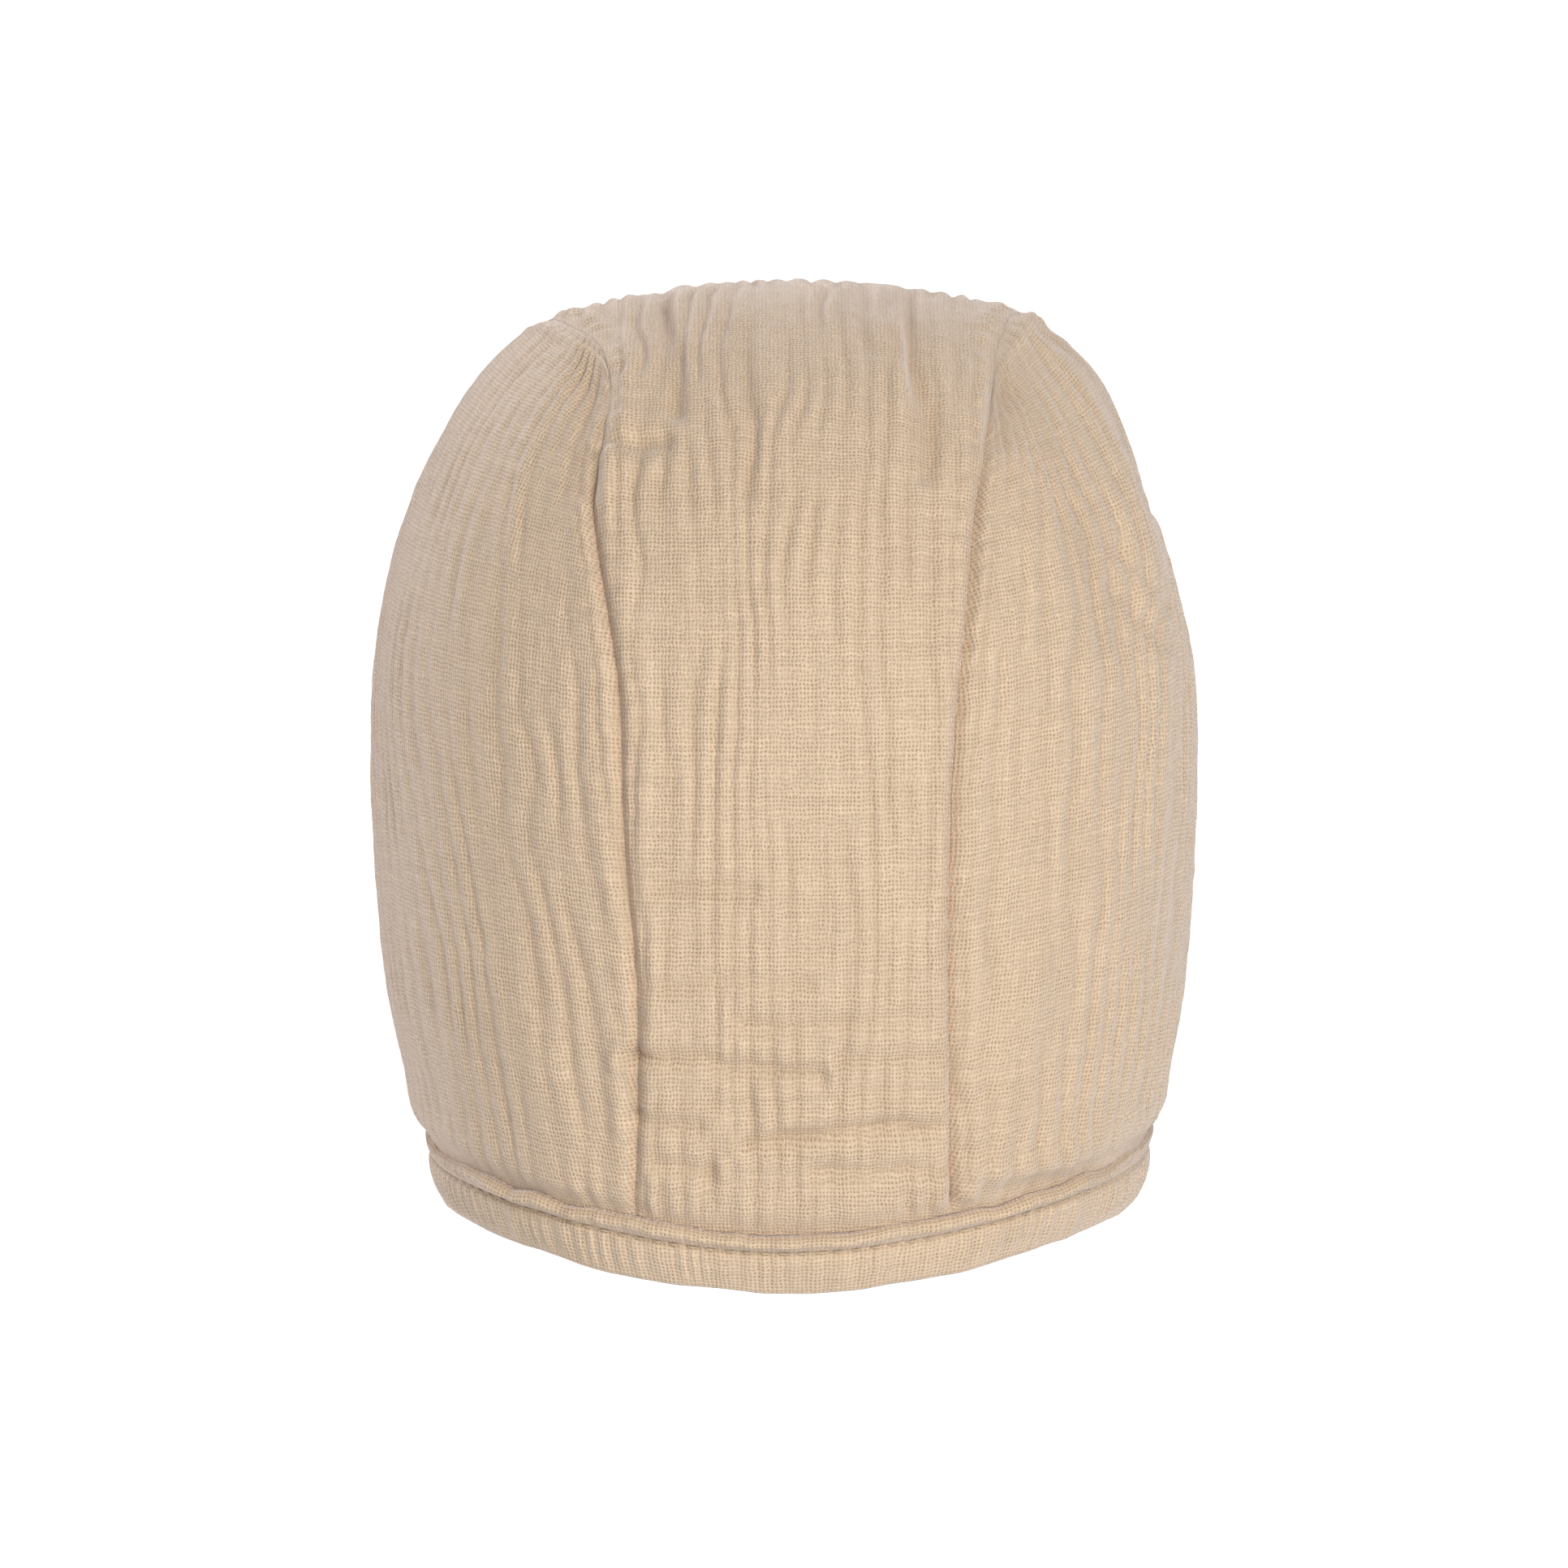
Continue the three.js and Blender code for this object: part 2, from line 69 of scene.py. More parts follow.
# The centre panel's seams from the face edge (0) to the nape (1), as shares of halfWidth from the middle
centreStations = [
    {"along": 0, "left": -0.6, "right": 0.6},
    {"along": 0.235, "left": -0.567, "right": 0.562},
    {"along": 0.27, "left": -0.545, "right": 0.539},
    {"along": 0.31, "left": -0.508, "right": 0.521},
    {"along": 0.345, "left": -0.463, "right": 0.507},
    {"along": 0.375, "left": -0.434, "right": 0.501},
    {"along": 0.405, "left": -0.4185, "right": 0.4985},
    {"along": 0.432, "left": -0.408, "right": 0.496},
    {"along": 0.463, "left": -0.4154, "right": 0.4855},
    {"along": 0.487, "left": -0.4305, "right": 0.476},
    {"along": 0.515, "left": -0.4448, "right": 0.464},
    {"along": 0.552, "left": -0.4488, "right": 0.448},
    {"along": 0.629, "left": -0.412, "right": 0.428},
    {"along": 0.683, "left": -0.387, "right": 0.409},
    {"along": 0.776, "left": -0.376, "right": 0.39},
    {"along": 0.851, "left": -0.346, "right": 0.388},
    {"along": 0.95, "left": -0.348, "right": 0.394},
    {"along": 1, "left": -0.349, "right": 0.397},
]

gauzeCloth = {
    "thickness": 1.1,
    "tuck": 1.75,  # the raw edge stops this far inside the finished edge
    "ribPitch": 3.7,
    "ribHeight": 0.28,
    "crinkle": 0.1,  # the finest unevenness
    "slack": 0.36,  # broad unevenness of the whole cloth
    "seamDip": 1.45,
    "seamPuff": 0.5,  # how far the cloth stands out beside a seam
    "seamPuffAt": 3.4,
    "seamWidth": 0.9,
    "seamPucker": 0.3,
    "puckerPitch": 5.3,
    "hemPucker": 0.6,
    "hemPuckerPitch": 6.3,
    "hemPuckerReach": 8,
    "hemPuff": 0.9,  # how far the cloth bags over the neck band
}
centreCut = {"columns": 190, "rows": 250, "crownRibs": 0.2, "flat": (0.095, 0.335), "area": 0.0225}
sideCut = {
    "columns": 225,
    "rows": 200,
    "crownRibs": -0.2,
    "ribShare": 0.74,  # ribs are coarser here than on the centre panel
    "slantFrom": 12,  # below this level the ribs slant towards the nape
    "corner": 122,  # degrees: the seam is the panel's back edge up to here, and its upper edge from here on
    "flat": (0.165, 0.185),
    "area": 0.0245,
}

# Folds as they show from behind: places in mm from the middle to the right, and in mm below the crown.
# A height above 0 stands out, and one below 0 is a dent.
rearFolds = [
    {"name": "right crest", "x": [39, 46.7, 50, 54, 57, 59.5, 62], "down": [9, 13.4, 17.8, 26, 33, 42, 54],
     "width": 2.4, "height": 1.5},
    {"name": "inside the crest", "x": [38, 45, 50, 55], "down": [17, 28, 42, 60],
     "width": 3.4, "height": -0.8},
    {"name": "behind the crest", "x": [45, 53, 58.5, 62.5], "down": [8.5, 15, 26, 38],
     "width": 2.3, "height": -1.3},
    {"name": "left overhang", "x": [-27.5, -26.6, -28.2, -30], "down": [11, 20, 29, 38],
     "width": 2.2, "height": 1.1},
    {"name": "under the overhang", "x": [-34, -32.5, -34.5], "down": [17, 22, 34],
     "width": 2.8, "height": -1.1},
    {"name": "left gather", "x": [-41, -44, -47.5], "down": [22, 32, 46], "width": 1.8, "height": 0.5},
    {"name": "right pocket", "x": [37.2, 36.2], "down": [19, 27], "width": 2.4, "height": -1.5},
    {"name": "crown dent left", "x": [-21.5, -19.2, -18.7], "down": [3, 11, 22],
     "width": 1.7, "height": -1.6},
    {"name": "crown dent middle", "x": [-8, -6.2, -5.2], "down": [9, 26, 36],
     "width": 2.1, "height": -0.7},
    {"name": "crown dent outer", "x": [-29.5, -27.8], "down": [6, 15], "width": 1.5, "height": -0.8},
    {"name": "crown dent right", "x": [12.5, 14], "down": [3, 11], "width": 1.8, "height": -0.9},
    {"name": "crown tuck", "x": [20.5, 22, 23.3, 24.4, 24.4], "down": [3, 13.4, 18.5, 23, 33],
     "width": 1.7, "height": -1.6},
    {"name": "beside the tuck", "x": [17, 18.6, 20], "down": [8, 14, 20], "width": 2.3, "height": 0.7},
    {"name": "upper crease", "x": [-29, -20.5], "down": [28, 27], "width": 1.4, "height": -1.0},
    {"name": "nape crease 1", "x": [-22, -5], "down": [103.2, 104], "width": 1.1, "height": -1.0},
    {"name": "nape crease 2", "x": [-24, 4], "down": [120.4, 119.6], "width": 1.1, "height": -1.1},
    {"name": "nape crease 3", "x": [-7, 24], "down": [126.8, 126.2], "width": 1.1, "height": -1.2},
    {"name": "nape crease 4", "x": [-26, -14, -9, 6], "down": [131.4, 132, 134.4, 134.8],
     "width": 1.2, "height": -1.9},
    {"name": "nape crease 4 right", "x": [9, 26], "down": [132.6, 132], "width": 1.1, "height": -1.1},
    {"name": "nape crease 5", "x": [-6, 8, 26], "down": [146.6, 145.4, 143.6],
     "width": 1.15, "height": -2.0},
    {"name": "nape crease 5 left", "x": [-25, -15], "down": [142.6, 143.2], "width": 1.1, "height": -1.2},
    {"name": "nape crease 6", "x": [5, 27], "down": [151.6, 150.8], "width": 1.0, "height": -1.1},
    {"name": "nape crease 6 left", "x": [-22, -13], "down": [149.6, 151.4], "width": 1.1, "height": -1.2},
    {"name": "nape dent 1", "x": [-12.8, -12.2], "down": [149, 157], "width": 1.2, "height": -0.8},
    {"name": "nape dent 2", "x": [-6.6, -6], "down": [137, 147], "width": 1.3, "height": -0.7},
    {"name": "nape dent 3", "x": [16.4, 17.2], "down": [135, 145], "width": 1.2, "height": -0.6},
    {"name": "neck tuck", "x": [34, 42, 51], "down": [154.6, 153.6, 151.4], "width": 1.5, "height": -1.5},
    {"name": "over the neck tuck", "x": [34, 42, 51], "down": [151.2, 150.4, 148.4],
     "width": 1.9, "height": 0.8},
    {"name": "slanting fold", "x": [42, 34.5], "down": [117, 155], "width": 4.2, "height": 1.2},
    {"name": "left nape fold", "x": [-48, -36], "down": [118, 152], "width": 4.5, "height": 0.9},
    {"name": "right edge crinkle 1", "x": [57.5, 65], "down": [46, 56], "width": 1.4, "height": -0.9},
    {"name": "right edge crinkle 2", "x": [56, 64.5], "down": [52, 62], "width": 1.3, "height": -0.7},
]

eye = {"elevation": 6, "distance": 1500, "target": (0, -5, -83.85), "frameWidth": 265.96}


def unit(vectors):
    return vectors / np.linalg.norm(vectors, axis=-1, keepdims=True)


def bell(distance, width):
    return np.exp(-((distance / width) ** 2))


def ease(value, low, high):
    share = np.clip((value - low) / (high - low), 0, 1)
    return share * share * (3 - 2 * share)


noiseGrid = np.random.default_rng(41).uniform(-1, 1, (24, 256, 256))


def cloud(x, y, layer):
    # smooth noise from -1 to 1, with one random value at each whole number
    gx, gy = np.floor(x).astype(int), np.floor(y).astype(int)
    fx, fy = x - gx, y - gy
    fx, fy = fx * fx * (3 - 2 * fx), fy * fy * (3 - 2 * fy)
    grid = noiseGrid[layer]

    def at(i, j):
        return grid[(gx + i) % 256, (gy + j) % 256]

    low = at(0, 0) * (1 - fx) + at(1, 0) * fx
    high = at(0, 1) * (1 - fx) + at(1, 1) * fx
    return low * (1 - fy) + high * fy


def lastPlace(holds, low, high, steps=30):
    # where a condition that holds at low stops holding on the way to high
    inside, outside = np.array(low, float), np.array(high, float)
    for _ in range(steps):
        middle = (inside + outside) / 2
        ok = holds(middle)
        inside, outside = np.where(ok, middle, inside), np.where(ok, outside, middle)
    return (inside + outside) / 2


def tableValue(rows, column, along):
    at = np.array([row["along"] for row in rows], float)
    value = np.array([row[column] for row in rows], float)
    slope = np.gradient(value)
    slope[1:-1] = (value[2:] - value[:-2]) / (at[2:] - at[:-2])
    slope[0] = (value[1] - value[0]) / (at[1] - at[0])
    slope[-1] = (value[-1] - value[-2]) / (at[-1] - at[-2])
    share = np.clip(along, 0, 1)
    k = np.clip(np.searchsorted(at, share, side="right") - 1, 0, len(at) - 2)
    span = at[k + 1] - at[k]
    t = (share - at[k]) / span
    blend = t * t * (3 - 2 * t)
    bend = t * (1 - t) * ((1 - t) * slope[k] - t * slope[k + 1]) * span
    return value[k] * (1 - blend) + value[k + 1] * blend + bend


def towards(azimuth, elevation):
    a, e = math.radians(azimuth), math.radians(elevation)
    return np.array([math.cos(e) * math.sin(a), -math.cos(e) * math.cos(a), math.sin(e)])


def formPoint(d):
    reach = (np.abs(d) ** capForm["power"]).sum(-1) ** (-1 / capForm["power"])
    for swell in capForm["swells"]:
        angle = np.arccos(np.clip(d @ towards(swell["azimuth"], swell["elevation"]), -1, 1))
        reach = reach + swell["height"] * bell(angle, math.radians(swell["spread"]))
    sizes = np.stack(
        [
            np.full(d.shape[:-1], float(capForm["halfWidth"])),
            np.where(d[..., 1] < 0, capForm["backReach"], capForm["frontReach"]),
            np.where(d[..., 2] < 0, capForm["neckFall"], capForm["crownRise"]),
        ],
        axis=-1,
    )
    point = d * reach[..., None] * sizes
    above = point[..., 2] - neckLevel(point[..., 0]) - capForm["bandWidth"]
    drawn = capForm["cinch"] * (1 - ease(above, -1, capForm["cinchReach"] - 1))
    across = np.sqrt(point[..., 0] ** 2 + point[..., 1] ** 2 + (0.3 * capForm["halfWidth"]) ** 2)
    share = 1 - drawn / across
    return point * np.stack([share, share, np.ones(share.shape)], -1)


def formNormal(d, step=0.003):
    first = unit(np.cross(np.stack([d[..., 2], d[..., 0], -d[..., 1]], -1), d))
    second = np.cross(d, first)

    def across(tangent):
        return formPoint(unit(d + step * tangent)) - formPoint(unit(d - step * tangent))

    return unit(np.cross(across(first), across(second)))


def arch(share):
    return np.hypot(share, capForm["napeRound"]) - capForm["napeRound"]


def neckLevel(x):
    lift = capForm["napeDrop"] - capForm["sideDrop"]
    return -capForm["napeDrop"] + lift * arch(x / capForm["halfWidth"]) / arch(0.85)


def faceReach(z):
    share = (z + capForm["sideDrop"]) / (capForm["sideDrop"] + capForm["crownRise"])
    return capForm["faceNeck"] + (capForm["faceTop"] - capForm["faceNeck"]) * share


def aboveNeck(point, lift):
    return point[..., 2] > neckLevel(point[..., 0]) + lift


def behindFace(point, inset):
    return point[..., 1] < faceReach(point[..., 2]) - inset


def roundAxis(turn, side):
    turn, side = np.broadcast_arrays(turn, side)
    return np.stack([np.sin(side), np.cos(side) * np.cos(turn), np.cos(side) * np.sin(turn)], -1)


def centreTurn(side, end, inset):
    side = np.asarray(side, float)
    start = np.full(side.shape, math.pi / 2 if end == "face" else math.pi)
    stop = np.full(side.shape, 0.0 if end == "face" else 1.5 * math.pi)
    keeps = behindFace if end == "face" else aboveNeck
    return lastPlace(lambda turn: keeps(formPoint(roundAxis(turn, side)), inset), start, stop)


faceTurn = float(centreTurn(0, "face", 0))
napeTurn = float(centreTurn(0, "nape", 0))


def seamAngles(turns, side):
    along = (turns - faceTurn) / (napeTurn - faceTurn)
    seamX = tableValue(centreStations, "right" if side > 0 else "left", along) * capForm["halfWidth"]

    def inside(angle):
        return formPoint(roundAxis(turns, side * angle))[..., 0] * side < seamX * side

    return lastPlace(inside, np.zeros(turns.shape), np.full(turns.shape, math.pi / 2))


seamTurns = np.linspace(0, 2 * math.pi, 1441)
seamTable = {side: seamAngles(seamTurns, side) for side in (-1, 1)}


def seamAngle(turn, side):
    return np.interp(turn, seamTurns, seamTable[side])


def toRow(points):
    return points + np.array([0, 0, capForm["crownInside"] - capForm["crownRise"]])


def shownFromBehind(points):
    # mm to the right of the picture's middle, and mm up from it
    e = math.radians(eye["elevation"])
    offset = toRow(points) - np.array(eye["target"], float)
    depth = eye["distance"] - offset @ np.array([0, -math.cos(e), math.sin(e)])
    grow = eye["distance"] / depth
    up = offset @ np.array([0, math.sin(e), math.cos(e)]) * grow
    return offset[..., 0] * grow, up


def crownLevel():
    swing = np.linspace(-1.2, 1.2, 241)
    turn = np.linspace(0.5, 3, 251)
    return float(shownFromBehind(formPoint(roundAxis(turn[:, None], swing[None, :])))[1].max())


crownUp = crownLevel()


def rearPlace(points):
    # where a point shows from behind: mm from the middle, and mm below the crown
    across, up = shownFromBehind(points)
    return across, crownUp - up


def foldLift(points, wobble, crest):
    # crest is 1 on a rib and 0 between ribs: a crease dents the ribs that it crosses
    x, down = rearPlace(points)
    down = down + 0.7 * wobble
    breaks = 0.85 + 0.35 * cloud(x / 5, down / 7, 22)
    x = x + 0.5 * wobble
    behind = ease(-points[..., 1], -20, 5)
    lift = np.zeros(x.shape)
    for fold in rearFolds:
        spots = list(zip(fold["x"], fold["down"]))
        nearest = np.full(x.shape, 1e9)
        for (x0, d0), (x1, d1) in zip(spots, spots[1:]):
            run = (x1 - x0) ** 2 + (d1 - d0) ** 2
            share = np.clip(((x - x0) * (x1 - x0) + (down - d0) * (d1 - d0)) / run, 0, 1)
            apart = np.hypot(x - x0 - share * (x1 - x0), down - d0 - share * (d1 - d0))
            nearest = np.minimum(nearest, apart)
        width = fold["width"]
        if "crease" in fold["name"]:
            # a crease is broken into dents, with a low puff on either side
            lift += fold["height"] * bell(nearest, width) * (0.7 + 0.4 * crest) * breaks
            lift -= 0.35 * fold["height"] * bell(nearest - 2.5 * width, 1.1 * width) * breaks
        else:
            lift += fold["height"] * bell(nearest, width)
    return lift * behind


def ribLift(u, v, layer):
    # irregular crinkles that run along v: broad crests and narrow valleys, which fade and merge
    drift = 0.6 * cloud(u / 13, v / 50, layer) + 0.28 * cloud(u / 6, v / 12, layer + 1)
    wave = 0.5 + 0.5 * np.cos(2 * math.pi * (u / gauzeCloth["ribPitch"] + drift))
    strength = np.clip(0.8 + 0.9 * cloud(u / 5, v / 14, layer + 2), 0.12, 1.5)
    return (2 * wave**0.6 - 1.2) * strength


def clothLift(points, u, v, ribU, seamDistance, crownRibs, layer):
    # lift from the form in mm, and how much painted shade each point gets: its colour is darkened in rib
    # troughs, fold dents and seam grooves
    cloth = gauzeCloth
    x = points[..., 0]
    aboveBand = points[..., 2] - neckLevel(x) - neckBand["width"]
    behindHem = faceReach(points[..., 2]) - points[..., 1] - neckBand["width"]
    free = ease(aboveBand, -0.5, 4) * ease(behindHem, -0.5, 4)
    ribs = ribLift(ribU, v, layer)
    calm = (1 + crownRibs * ease(points[..., 2], 42, 68)) * (1 - 0.35 * ease(-x, 28, 42))
    lift = cloth["ribHeight"] * ribs * calm
    lift += cloth["crinkle"] * (cloud(u / 1.9, v / 2.6, layer + 3) + 0.6 * cloud(u / 0.9, v / 1.4, layer + 4))
    lift += cloth["slack"] * (cloud(u / 17, v / 24, layer + 5) + 0.4 * cloud(u / 8, v / 11, layer + 6))
    lift += cloth["seamPuff"] * bell(seamDistance - cloth["seamPuffAt"], 1.9)
    pucker = np.cos(2 * math.pi * (v / cloth["puckerPitch"] + 0.6 * cloud(v / 7, u / 20, layer + 6)))
    lift += cloth["seamPucker"] * pucker * bell(seamDistance - 1.8, 2.4)
    # both panels lie at the same level where they are sewn together
    lift = lift * ease(seamDistance, 0, 2.6)
    folds = foldLift(points, cloud(x / 6, points[..., 2] / 6, 23), np.clip(0.6 + 0.5 * ribs, 0, 1))
    lift += folds
    # the hem's gathers
    spread = 0.8 * cloud(ribU / 9, ribU * 0, layer + 5)
    gather = np.cos(2 * math.pi * (ribU / cloth["hemPuckerPitch"] + spread))
    gather = gather * (0.7 + 0.6 * cloud(ribU / 13, ribU * 0, layer + 6))
    near = bell(np.maximum(aboveBand, 0), cloth["hemPuckerReach"])
    atSides = ease(np.abs(x), 44, 58)
    lift = lift * (1 - 0.35 * near) + cloth["hemPucker"] * gather * near * (1 - 0.7 * atSides)
    lift += cloth["hemPuff"] * bell(aboveBand - 4, 3.4)
    lift = lift * free
    ends = ease(aboveBand, -1, 3) * ease(behindHem, -1, 3)
    ends = ends * (1 - 0.95 * ease(points[..., 2], 45, 68))
    lift -= cloth["seamDip"] * bell(seamDistance, cloth["seamWidth"]) * ends
    # painted shade: the colour darkens in rib troughs, in fold dents and along the seam groove, where shade
    # falls
    valleyShade = 0.7 * np.clip(0.5 - 0.6 * ribs, 0, 1) ** 2 - 0.6 * np.minimum(folds, 0)
    valleyShade += 0.9 * bell(seamDistance, 0.9) * ends
    return lift, np.clip(valleyShade, 0, 1.6)


def runLengths(points, axis):
    # lengths along one way of a grid of points, from its first line
    length = np.cumsum(np.linalg.norm(np.diff(points, axis=axis), axis=-1), axis=axis)
    return np.concatenate([np.zeros_like(np.take(length, [0], axis)), length], axis=axis)


def makeMesh(name, points, faces, uv, valleyShade, material):
    mesh = bpy.data.meshes.new(name)
    mesh.from_pydata((toRow(points) * 0.001).tolist(), [], faces)
    mesh.update()
    corner = np.zeros(len(mesh.loops), np.int32)
    mesh.loops.foreach_get("vertex_index", corner)
    layer = mesh.uv_layers.new(name="grain")
    layer.data.foreach_set("uv", uv[corner].astype(np.float32).ravel())
    # the painted-shade mask, which darkens the colour in hollows
    mesh.attributes.new("valleyShade", "FLOAT", "POINT").data.foreach_set("value", valleyShade.astype(np.float32))
    mesh.polygons.foreach_set("use_smooth", np.ones(len(mesh.polygons), bool))
    piece = bpy.data.objects.new(name, mesh)
    bpy.context.collection.objects.link(piece)
    mesh.materials.append(material)
    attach(piece, "root")
    return piece


def outward(points, quads):
    a, b, c, d = (points[quads[:, k]] for k in range(4))
    volume = (a * np.cross(b, c)).sum() + (a * np.cross(c, d)).sum()
    return quads if volume > 0 else quads[:, ::-1]


def clothPiece(name, directions, lift, valleyShade, u, v, material):
    point, normal = formPoint(directions), formNormal(directions)
    outer = point + normal * lift[..., None]
    inner = point + normal * (lift - gauzeCloth["thickness"])[..., None]
    columns, rows = lift.shape
    count = columns * rows
    top = np.arange(count).reshape(columns, rows)
    under = top + count

    def strip(a, b, c, d):
        return np.stack([a, b, c, d], -1).reshape(-1, 4)

    quads = np.concatenate(
        [
            strip(top[:-1, :-1], top[1:, :-1], top[1:, 1:], top[:-1, 1:]),
            strip(under[:-1, :-1], under[:-1, 1:], under[1:, 1:], under[1:, :-1]),
            strip(top[:-1, 0], under[:-1, 0], under[1:, 0], top[1:, 0]),
            strip(top[1:, -1], under[1:, -1], under[:-1, -1], top[:-1, -1]),
            strip(top[0, 1:], under[0, 1:], under[0, :-1], top[0, :-1]),
            strip(top[-1, :-1], under[-1, :-1], under[-1, 1:], top[-1, 1:]),
        ]
    )
    points = np.concatenate([outer.reshape(-1, 3), inner.reshape(-1, 3)])
    grain = np.stack([u, v], -1).reshape(-1, 2)
    quads = outward(points, quads)
    return makeMesh(
        name,
        points,
        quads.tolist(),
        np.concatenate([grain, grain + 0.4]),
        # painted shade for the outer face, and the opposite amount for the hidden inner face
        np.concatenate([valleyShade.ravel(), 1 - valleyShade.ravel()]),
        material,
    )


def setInput(node, name, value):
    node.inputs[name].default_value = value


class Wires:
    # short ways to add and join the nodes of one tree
    def __init__(self, tree):
        self.tree = tree

    def add(self, kind, **values):
        node = self.tree.nodes.new(kind)
        for key, value in values.items():
            setattr(node, key, value)
        return node

    def join(self, source, target):
        self.tree.links.new(source, target)

    def math(self, operation, a, b=None, c=None):
        node = self.add("ShaderNodeMath", operation=operation)
        for k, value in enumerate((a, b, c)):
            if value is None:
                continue
            if isinstance(value, (int, float)):
                node.inputs[k].default_value = value
            else:
                self.join(value, node.inputs[k])
        return node.outputs[0]

    def mixColor(self, factor, a, b, blend="MIX"):
        node = self.add("ShaderNodeMix", data_type="RGBA", blend_type=blend)
        for socket, value in ((node.inputs[0], factor), (node.inputs[6], a), (node.inputs[7], b)):
            if isinstance(value, (int, float)):
                socket.default_value = value
            elif isinstance(value, tuple):
                socket.default_value = (*value, 1)
            else:
                self.join(value, socket)
        return node.outputs[2]


def makeWeaveGroup():
    tree = bpy.data.node_groups.new("plainWeave", "ShaderNodeTree")
    tree.interface.new_socket("Grain", in_out="INPUT", socket_type="NodeSocketVector")
    for name, value in (("Pitch", 0.82), ("Unevenness", 0.3)):
        tree.interface.new_socket(name, in_out="INPUT", socket_type="NodeSocketFloat").default_value = value
    for name in ("Height", "Gap", "Hole", "Slub"):
        tree.interface.new_socket(name, in_out="OUTPUT", socket_type="NodeSocketFloat")
    w = Wires(tree)
    start, end = w.add("NodeGroupInput"), w.add("NodeGroupOutput")

    def threadGaps(shift, share, scale):
        # how far a place lies in the gaps between upright and between level threads, from 0 to 1
        wobble = w.add("ShaderNodeTexNoise")
        setInput(wobble, "Scale", scale)
        setInput(wobble, "Detail", 2.0)
        offset = w.add("ShaderNodeVectorMath", operation="ADD")
        w.join(start.outputs["Grain"], offset.inputs[0])
        offset.inputs[1].default_value = shift
        w.join(offset.outputs[0], wobble.inputs["Vector"])
        centred = w.add("ShaderNodeVectorMath", operation="SUBTRACT")
        w.join(wobble.outputs["Color"], centred.inputs[0])
        centred.inputs[1].default_value = (0.5, 0.5, 0.5)
        scaled = w.add("ShaderNodeVectorMath", operation="SCALE")
        w.join(centred.outputs[0], scaled.inputs[0])
        w.join(w.math("MULTIPLY", start.outputs["Unevenness"], 2.4), scaled.inputs["Scale"])
        moved = w.add("ShaderNodeVectorMath", operation="ADD")
        w.join(offset.outputs[0], moved.inputs[0])
        w.join(scaled.outputs[0], moved.inputs[1])
        parts = w.add("ShaderNodeSeparateXYZ")
        w.join(moved.outputs[0], parts.inputs[0])
        gaps, swings = [], []
        for k in range(2):
            spacing = share * (0.86, 1.0)[k]  # upright threads stand closer together than level ones
            turns = w.math("DIVIDE", parts.outputs[k], w.math("MULTIPLY", start.outputs["Pitch"], spacing))
            wave = w.math("COSINE", w.math("MULTIPLY", turns, 2 * math.pi))
            gaps.append(w.math("MULTIPLY_ADD", wave, 0.5, 0.5))
            swings.append(w.math("SINE", w.math("MULTIPLY", turns, math.pi)))
        return gaps, swings, moved

    upper, crossings, moved = threadGaps((0, 0, 0), 1.0, 0.6)
    lower, _, _ = threadGaps((0.37, 5.61, 3.0), 0.92, 0.4)
    # the Hole and Gap outputs only darken the colour: painted shade in the weave's holes, where the dim
    # inside shows through, and between the threads
    through = w.math("MULTIPLY", upper[0], upper[1])
    behind = w.math("MULTIPLY_ADD", w.math("ADD", lower[0], lower[1]), 0.55, 0.2)
    w.join(w.math("MULTIPLY", w.math("POWER", through, 1.4), behind), end.inputs["Hole"])
    # each thread rises over one crossing and sinks under the next
    over = w.math("MULTIPLY", *crossings)
    upright = w.math("MULTIPLY", w.math("SUBTRACT", 1, upper[0]), w.math("MULTIPLY_ADD", over, 0.4, 0.6))
    level = w.math("MULTIPLY", w.math("SUBTRACT", 1, upper[1]), w.math("MULTIPLY_ADD", over, -0.4, 0.6))
    height = w.math("MAXIMUM", upright, level)
    w.join(height, end.inputs["Height"])
    w.join(w.math("SUBTRACT", 1, height), end.inputs["Gap"])
    streaks = []
    for stretch in ((1.0, 0.05, 1), (0.05, 1.0, 1)):
        turned = w.add("ShaderNodeVectorMath", operation="MULTIPLY")
        w.join(moved.outputs[0], turned.inputs[0])
        turned.inputs[1].default_value = stretch
        noise = w.add("ShaderNodeTexNoise")
        setInput(noise, "Scale", 1.3)
        setInput(noise, "Detail", 1.0)
        w.join(turned.outputs[0], noise.inputs["Vector"])
        streaks.append(noise.outputs["Fac"])
    w.join(w.math("MULTIPLY", w.math("ADD", streaks[0], streaks[1]), 0.5), end.inputs["Slub"])
    return tree


